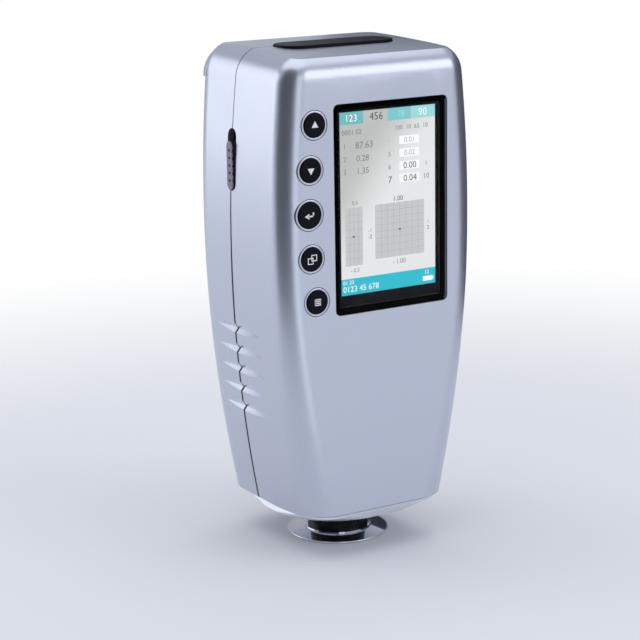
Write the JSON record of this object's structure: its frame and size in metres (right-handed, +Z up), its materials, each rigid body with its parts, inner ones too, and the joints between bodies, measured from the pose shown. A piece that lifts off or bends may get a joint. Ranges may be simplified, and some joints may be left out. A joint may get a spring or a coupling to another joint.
{
  "type": "portable colorimeter",
  "caption": "Hand-held colour measuring instrument with a tall screen, a column of round keys, a long measuring key on top, finger grooves and a round metal foot.",
  "frame": {"origin": "centre of the measuring aperture, on the underside of the foot", "axes": "+Z up along the casing away from the foot, the screen faces -Y, the power slide is on the -X side"},
  "size_m": [0.0871, 0.0709, 0.195],
  "materials": {
    "casing": "satin silver paint on moulded plastic",
    "key_black": "smooth black moulding with white marks",
    "slider_grey": "satin grey moulding",
    "screen_glass": "clear cover glass",
    "screen_panel": "lit picture panel",
    "gasket": "black foam tape",
    "neck_black": "satin black moulding",
    "foot_polished": "polished",
    "white_moulding": "matt white",
    "board": "glass-fibre board with green coating",
    "chip": "moulded package",
    "can": "tinned sheet",
    "screw_steel": "plain",
    "contact": "plated",
    "battery_wrap": "printed wrap over a metal case",
    "bracket_sheet": "pressed sheet",
    "optics_metal": "black anodised",
    "lens_glass": "polished",
    "lamp_clear": "clear moulding",
    "sensor_body": "dark package"
  },
  "bodies": {
    "case": {"front_shell": "casing", "rear_shell": "casing", "bottom_cap": "casing", "battery": "battery_wrap", "battery_contacts": "contact", "display_glass": "screen_glass", "display_gasket": "gasket", "display_panel": "screen_panel", "display_bracket": "bracket_sheet", "key_board": "board", "key_switches": "chip", "trigger_board": "board", "trigger_switch": "chip", "power_switch": "chip", "power_board": "board", "charge_board": "board", "charge_socket": "can", "main_board": "board", "shield_can": "can", "board_chips": "chip", "board_screws": "screw_steel", "case_screws": "screw_steel", "frame_screws": "screw_steel", "optics_screws": "screw_steel", "foot_ring": "foot_polished", "measuring_neck": "neck_black", "aperture_insert": "white_moulding", "sphere_lower": "white_moulding", "sphere_upper": "white_moulding", "optics_frame": "optics_metal", "led_board": "board", "leds": "lamp_clear", "lens_barrel": "optics_metal", "collecting_lens": "lens_glass", "sensor_board": "board", "light_sensor": "sensor_body"},
    "up_key": {"up_key": "key_black"},
    "down_key": {"down_key": "key_black"},
    "enter_key": {"enter_key": "key_black"},
    "back_key": {"back_key": "key_black"},
    "menu_key": {"menu_key": "key_black"},
    "measure_key": {"measure_key": "key_black"},
    "power_slider": {"power_slider": "slider_grey"},
    "battery_door": {"battery_door": "casing"}
  },
  "joints": [
    {"name": "up_key_press", "type": "slide", "parent": "case", "child": "up_key", "axis": [0, 1, 0], "range_m": [0, 0.0007], "stiffness_N_per_m": 1200},
    {"name": "down_key_press", "type": "slide", "parent": "case", "child": "down_key", "axis": [0, 1, 0], "range_m": [0, 0.0007], "stiffness_N_per_m": 1200},
    {"name": "enter_key_press", "type": "slide", "parent": "case", "child": "enter_key", "axis": [0, 1, 0], "range_m": [0, 0.0007], "stiffness_N_per_m": 1200},
    {"name": "back_key_press", "type": "slide", "parent": "case", "child": "back_key", "axis": [0, 1, 0], "range_m": [0, 0.0007], "stiffness_N_per_m": 1200},
    {"name": "menu_key_press", "type": "slide", "parent": "case", "child": "menu_key", "axis": [0, 1, 0], "range_m": [0, 0.0007], "stiffness_N_per_m": 1200},
    {"name": "measure_key_press", "type": "slide", "parent": "case", "child": "measure_key", "axis": [0, 0, -1], "range_m": [0, 0.001], "stiffness_N_per_m": 1500, "springref_m": -0.0002},
    {"name": "power_slide", "type": "slide", "parent": "case", "child": "power_slider", "axis": [0, 0, 1], "range_m": [0, 0.0044]},
    {"name": "battery_door_pull", "type": "slide", "parent": "case", "child": "battery_door", "axis": [0, 1, 0], "range_m": [0, 0.02]}
  ]
}
